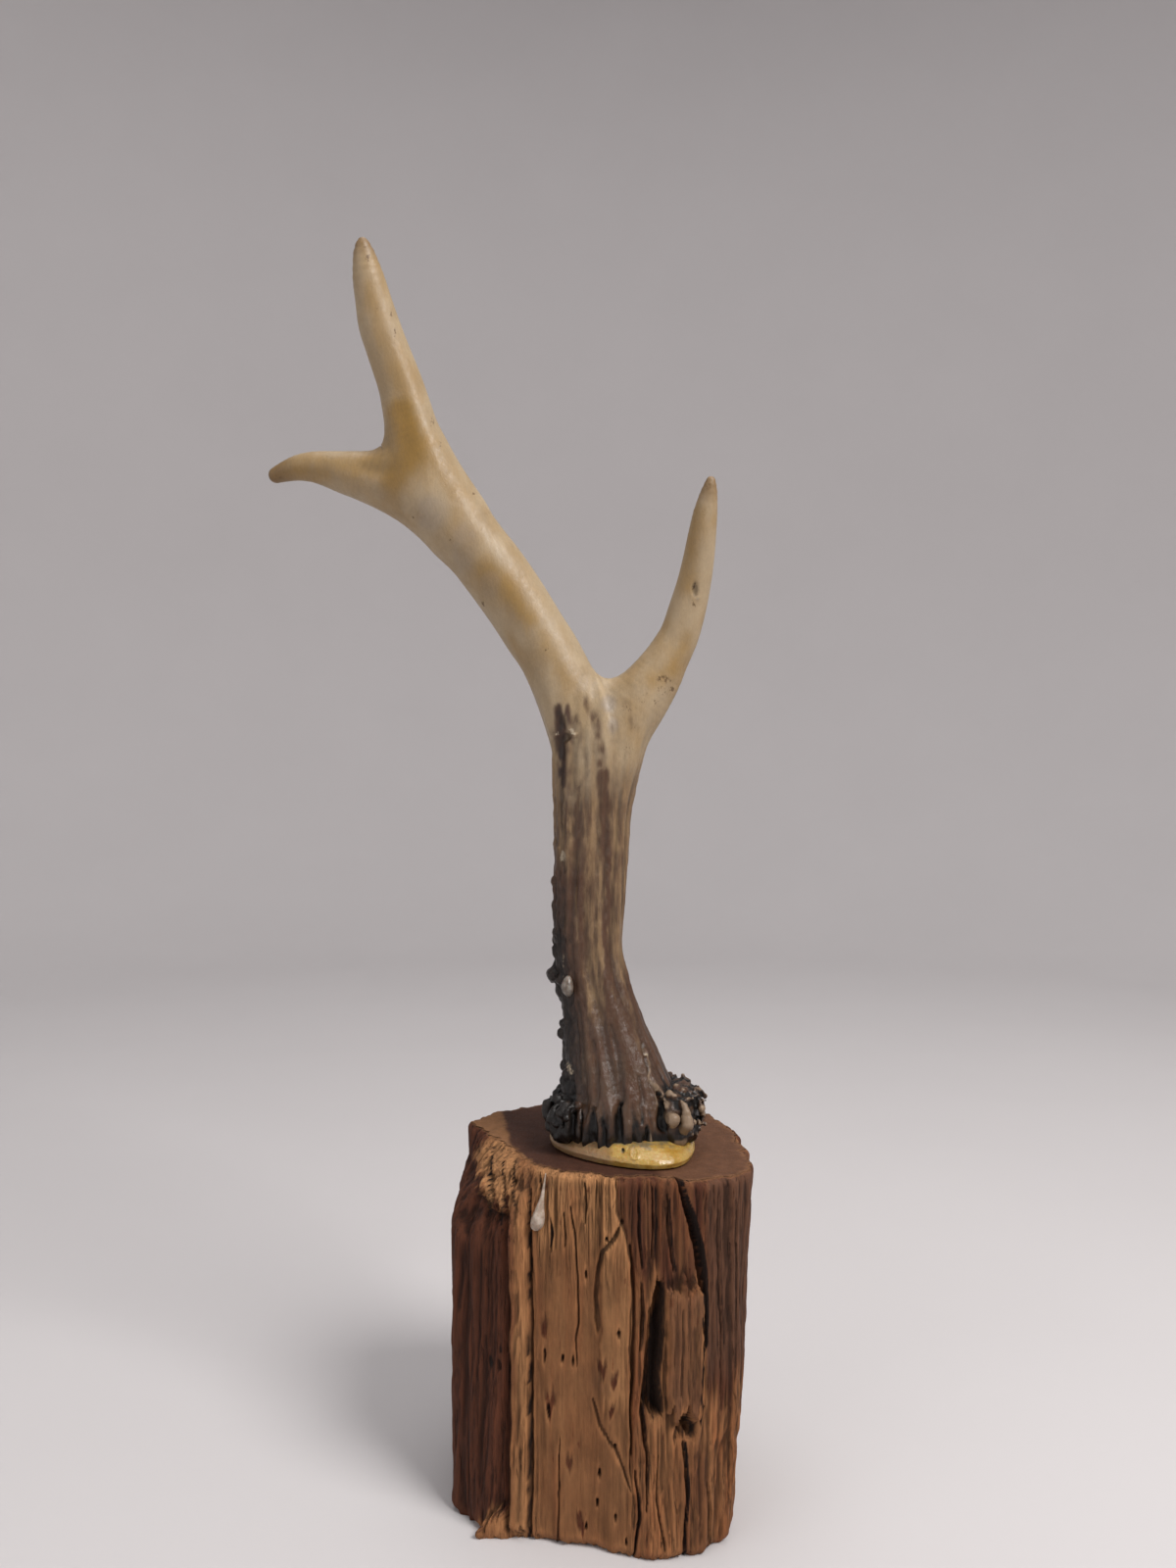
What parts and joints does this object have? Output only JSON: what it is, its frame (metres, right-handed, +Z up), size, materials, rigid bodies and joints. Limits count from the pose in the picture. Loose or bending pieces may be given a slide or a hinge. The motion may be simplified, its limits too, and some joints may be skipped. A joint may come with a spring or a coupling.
{
  "type": "mounted deer antler",
  "caption": "Roe deer antler with a front, a rear and a top tine, glued upright by its burr to a short weathered block of wood.",
  "frame": {"origin": "middle of the block's sawn bottom face, below the middle of its top", "axes": "+Z up through the block and the antler; +X towards the front tine; -Y towards the weathered front of the block that the picture shows"},
  "size_m": [0.1136, 0.0638, 0.2867],
  "materials": {
    "weathered_wood": "matte",
    "yellow_adhesive": "gloss",
    "dried_adhesive": "gloss",
    "dark_antler": "satin",
    "ivory_antler": "satin"
  },
  "bodies": {
    "root": {"wood_block": "weathered_wood", "glue_pad": "yellow_adhesive", "glue_drip": "dried_adhesive", "glue_bead": "dried_adhesive", "antler_lower_beam": "dark_antler", "antler_upper_beam": "ivory_antler", "antler_front_tine": "ivory_antler", "antler_rear_tine": "ivory_antler", "antler_top_tine": "ivory_antler"}
  },
  "joints": []
}
